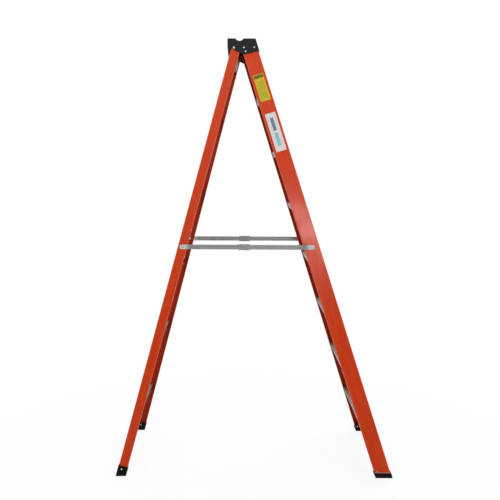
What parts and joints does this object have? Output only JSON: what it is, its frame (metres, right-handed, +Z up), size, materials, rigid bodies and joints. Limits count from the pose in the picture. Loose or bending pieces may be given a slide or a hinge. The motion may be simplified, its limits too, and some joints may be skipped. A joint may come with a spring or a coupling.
{
  "type": "folding step ladder",
  "caption": "Folding step ladder with fibreglass channel rails, aluminium treads, a braced rear frame, folding spreaders and a moulded top cap with a pipe notch.",
  "frame": {"origin": "on the floor under the middle of the open ladder, half way between the front toes and the rear boots and between the left and right sides", "axes": "+Z up, +X towards the climbing side with the treads, +Y towards the climber's right rail"},
  "size_m": [1.4852, 0.74, 2.3325],
  "materials": {
    "fibreglass": "satin pultruded fibreglass",
    "cap_plastic": "moulded, lightly textured",
    "step_aluminium": "mill finish extrusion",
    "brace_aluminium": "mill finish",
    "foot_rubber": "moulded rubber",
    "spreader_steel": "zinc plated",
    "rivet_metal": "bright",
    "upper_label": "printed film",
    "lower_label": "printed film"
  },
  "bodies": {
    "rear_frame": {"boot_rivet_left": "rivet_metal", "boot_rivet_right": "rivet_metal", "brace_rivets_left": "rivet_metal", "brace_rivets_right": "rivet_metal", "rear_boot_left": "foot_rubber", "rear_boot_right": "foot_rubber", "rear_brace_1": "brace_aluminium", "rear_brace_2": "brace_aluminium", "rear_brace_3": "brace_aluminium", "rear_brace_4": "brace_aluminium", "rear_brace_5": "brace_aluminium", "rear_brace_6": "brace_aluminium", "rear_rail_left": "fibreglass", "rear_rail_right": "fibreglass", "rear_spreader_pin_left": "rivet_metal", "rear_spreader_pin_right": "rivet_metal", "rear_spreader_spacer_left": "spreader_steel", "rear_spreader_spacer_right": "spreader_steel"},
    "front_frame": {"cap_rivets_left": "rivet_metal", "cap_rivets_right": "rivet_metal", "fold_pin_left": "rivet_metal", "fold_pin_right": "rivet_metal", "foot_rivet_left": "rivet_metal", "foot_rivet_right": "rivet_metal", "front_foot_left": "foot_rubber", "front_foot_right": "foot_rubber", "front_rail_left": "fibreglass", "front_rail_right": "fibreglass", "front_spreader_pin_left": "rivet_metal", "front_spreader_pin_right": "rivet_metal", "front_spreader_spacer_left": "spreader_steel", "front_spreader_spacer_right": "spreader_steel", "lower_label": "lower_label", "step_1": "step_aluminium", "step_2": "step_aluminium", "step_3": "step_aluminium", "step_4": "step_aluminium", "step_5": "step_aluminium", "step_6": "step_aluminium", "step_7": "step_aluminium", "step_rivets_left": "rivet_metal", "step_rivets_right": "rivet_metal", "top_cap": "cap_plastic", "upper_label": "upper_label"},
    "front_spreader_left": {"front_middle_pin_left": "rivet_metal", "front_spreader_left": "spreader_steel"},
    "front_spreader_right": {"front_middle_pin_right": "rivet_metal", "front_spreader_right": "spreader_steel"},
    "rear_spreader_left": {"rear_middle_pin_left": "rivet_metal", "rear_spreader_left": "spreader_steel"},
    "rear_spreader_right": {"rear_middle_pin_right": "rivet_metal", "rear_spreader_right": "spreader_steel"}
  },
  "joints": [
    {"name": "rear_fold", "type": "hinge", "parent": "front_frame", "child": "rear_frame", "pos_m": [-0.11616, 0, 2.28347], "axis": [0, -1, 0], "range_deg": [0, 32.7]},
    {"name": "front_spreader_fold_left", "type": "hinge", "parent": "front_frame", "child": "front_spreader_left", "pos_m": [0.30391, -0.25383, 1.229], "axis": [0, 1, 0], "range_deg": [0, 75.05]},
    {"name": "rear_spreader_fold_left", "type": "hinge", "parent": "rear_frame", "child": "rear_spreader_left", "pos_m": [-0.38736, -0.25091, 1.229], "axis": [0, -1, 0], "range_deg": [0, 59.9]},
    {"name": "front_spreader_fold_right", "type": "hinge", "parent": "front_frame", "child": "front_spreader_right", "pos_m": [0.30391, 0.25383, 1.229], "axis": [0, 1, 0], "range_deg": [0, 75.05]},
    {"name": "rear_spreader_fold_right", "type": "hinge", "parent": "rear_frame", "child": "rear_spreader_right", "pos_m": [-0.38736, 0.25091, 1.229], "axis": [0, -1, 0], "range_deg": [0, 59.9]}
  ],
  "couplings": [
    {"joint": "front_spreader_fold_left", "follows": "rear_fold", "ratio": 2.2946},
    {"joint": "rear_spreader_fold_left", "follows": "rear_fold", "ratio": 1.8312},
    {"joint": "front_spreader_fold_right", "follows": "rear_fold", "ratio": 2.2946},
    {"joint": "rear_spreader_fold_right", "follows": "rear_fold", "ratio": 1.8312}
  ]
}
